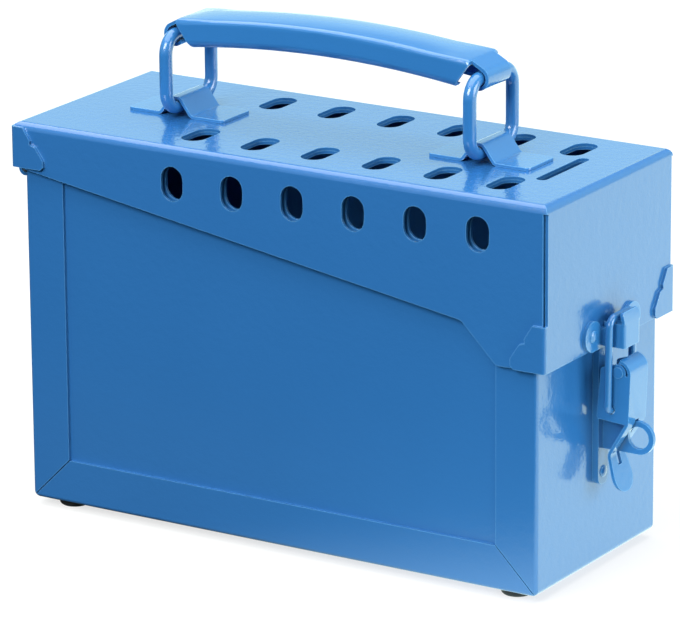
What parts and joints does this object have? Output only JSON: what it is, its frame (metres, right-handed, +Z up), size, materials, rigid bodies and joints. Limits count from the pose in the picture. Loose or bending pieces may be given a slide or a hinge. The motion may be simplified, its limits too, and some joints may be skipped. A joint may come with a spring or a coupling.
{
  "type": "group lockout box",
  "caption": "Steel key box with a hinged slotted lid, a narrow key slot, a fold-down carrying handle and a draw latch that takes a padlock.",
  "frame": {"origin": "on the floor under the middle of the overall bounding box, midway between the hinge knuckles and the tip of the padlock staple", "axes": "+X along the long side towards the latch, +Y towards the rear, +Z up"},
  "size_m": [0.25, 0.0944, 0.1932],
  "materials": {
    "painted_steel": "glossy blue powder coat",
    "bare_steel": "satin",
    "rubber": "matte black"
  },
  "bodies": {
    "body": {"body_shell": "painted_steel", "front_panel": "painted_steel", "rear_panel": "painted_steel", "foot_front_left": "rubber", "foot_front_right": "rubber", "foot_rear_left": "rubber", "foot_rear_right": "rubber", "hinge_leaf_body": "painted_steel", "hinge_pin": "bare_steel", "latch_base": "painted_steel", "latch_staple": "painted_steel", "latch_rivet_lower": "painted_steel", "latch_rivet_upper": "painted_steel", "latch_pivot_pin": "painted_steel"},
    "lid": {"lid_shell": "painted_steel", "lid_liner": "painted_steel", "hinge_leaf_lid": "painted_steel", "keeper": "painted_steel", "keeper_rivet_front": "painted_steel", "keeper_rivet_rear": "painted_steel", "handle_clip_left": "painted_steel", "handle_clip_right": "painted_steel"},
    "ring_left": {"handle_ring_left": "painted_steel"},
    "ring_right": {"handle_ring_right": "painted_steel"},
    "grip": {"handle_grip": "painted_steel"},
    "lever": {"latch_lever": "painted_steel"},
    "bail": {"latch_bail": "painted_steel"}
  },
  "joints": [
    {"name": "lid_hinge", "type": "hinge", "parent": "body", "child": "lid", "pos_m": [-0.1223, 0, 0.1307], "axis": [0, -1, 0], "range_deg": [0, 165]},
    {"name": "handle_fold", "type": "hinge", "parent": "lid", "child": "ring_left", "pos_m": [-0.0745, 0, 0.1539], "axis": [0, 1, 0], "range_deg": [-75, 75]},
    {"name": "handle_fold_right", "type": "hinge", "parent": "lid", "child": "ring_right", "pos_m": [0.0565, 0, 0.1539], "axis": [0, 1, 0], "range_deg": [-75, 75]},
    {"name": "grip_turn", "type": "hinge", "parent": "ring_left", "child": "grip", "pos_m": [-0.0745, 0, 0.1818], "axis": [0, 1, 0], "range_deg": [-75, 75]},
    {"name": "latch_lever", "type": "hinge", "parent": "body", "child": "lever", "pos_m": [0.1133, 0, 0.0796], "axis": [0, -1, 0], "range_deg": [0, 95]},
    {"name": "latch_bail", "type": "hinge", "parent": "lever", "child": "bail", "pos_m": [0.1103, 0, 0.0651], "axis": [0, -1, 0], "range_deg": [-60, 0]}
  ],
  "couplings": [
    {"joint": "handle_fold_right", "follows": "handle_fold", "ratio": 1},
    {"joint": "grip_turn", "follows": "handle_fold", "ratio": -1},
    {"joint": "latch_bail", "follows": "latch_lever", "ratio": -0.624}
  ]
}
